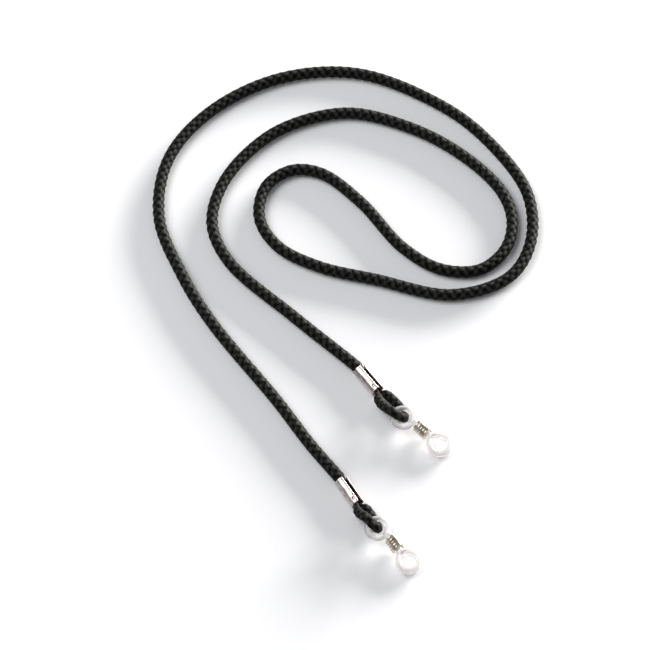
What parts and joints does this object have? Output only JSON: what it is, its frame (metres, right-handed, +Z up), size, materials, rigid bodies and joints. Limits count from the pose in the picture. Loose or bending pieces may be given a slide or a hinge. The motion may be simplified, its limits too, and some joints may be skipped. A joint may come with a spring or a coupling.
{
  "type": "eyeglass retainer strap",
  "caption": "Soft black cord for holding glasses, with crimped metal ferrules, end loops and clear temple-arm connectors that close with sliding coils.",
  "frame": {"origin": "on the surface the strap lies on, under the middle of the box round the two end fittings (the free cord left out)", "axes": "+Z up from the surface, +Y towards the far side of the cord's curl, +X to the right when the ends point to the viewer"},
  "size_m": [0.1162, 0.1755, 0.008],
  "materials": {
    "black_cord": "matt black braided polyester",
    "core_yarn": "undyed filler yarn",
    "nickel": "bright nickel plate",
    "clear_silicone": "clear soft moulding",
    "spring_steel": "bright coiled wire"
  },
  "bodies": {
    "strap": {"cord_sheath": "black_cord", "cord_core": "core_yarn", "cord_loop_left": "black_cord", "ferrule_left": "nickel", "cord_loop_right": "black_cord", "ferrule_right": "nickel"},
    "connector_left": {"eyelet_left": "clear_silicone", "temple_loop_left": "clear_silicone"},
    "slider_left": {"coil_left": "spring_steel"},
    "connector_right": {"eyelet_right": "clear_silicone", "temple_loop_right": "clear_silicone"},
    "slider_right": {"coil_right": "spring_steel"}
  },
  "joints": [
    {"name": "connector_swing_left", "type": "hinge", "parent": "strap", "child": "connector_left", "pos_m": [-0.00488, -0.02099, 0.00368], "axis": [0.0848, -0.1168, 0.9895], "range_deg": [-75, 75]},
    {"name": "coil_slide_left", "type": "slide", "parent": "connector_left", "child": "slider_left", "axis": [0.5816, -0.8005, -0.1444], "range_m": [0, 0.004], "deforming": ["temple_loop_left"]},
    {"name": "connector_swing_right", "type": "hinge", "parent": "strap", "child": "connector_right", "pos_m": [0.0029, 0.01597, 0.00368], "axis": [0.1056, -0.0985, 0.9895], "range_deg": [-75, 75]},
    {"name": "coil_slide_right", "type": "slide", "parent": "connector_right", "child": "slider_right", "axis": [0.7237, -0.6749, -0.1444], "range_m": [0, 0.004], "deforming": ["temple_loop_right"]}
  ]
}
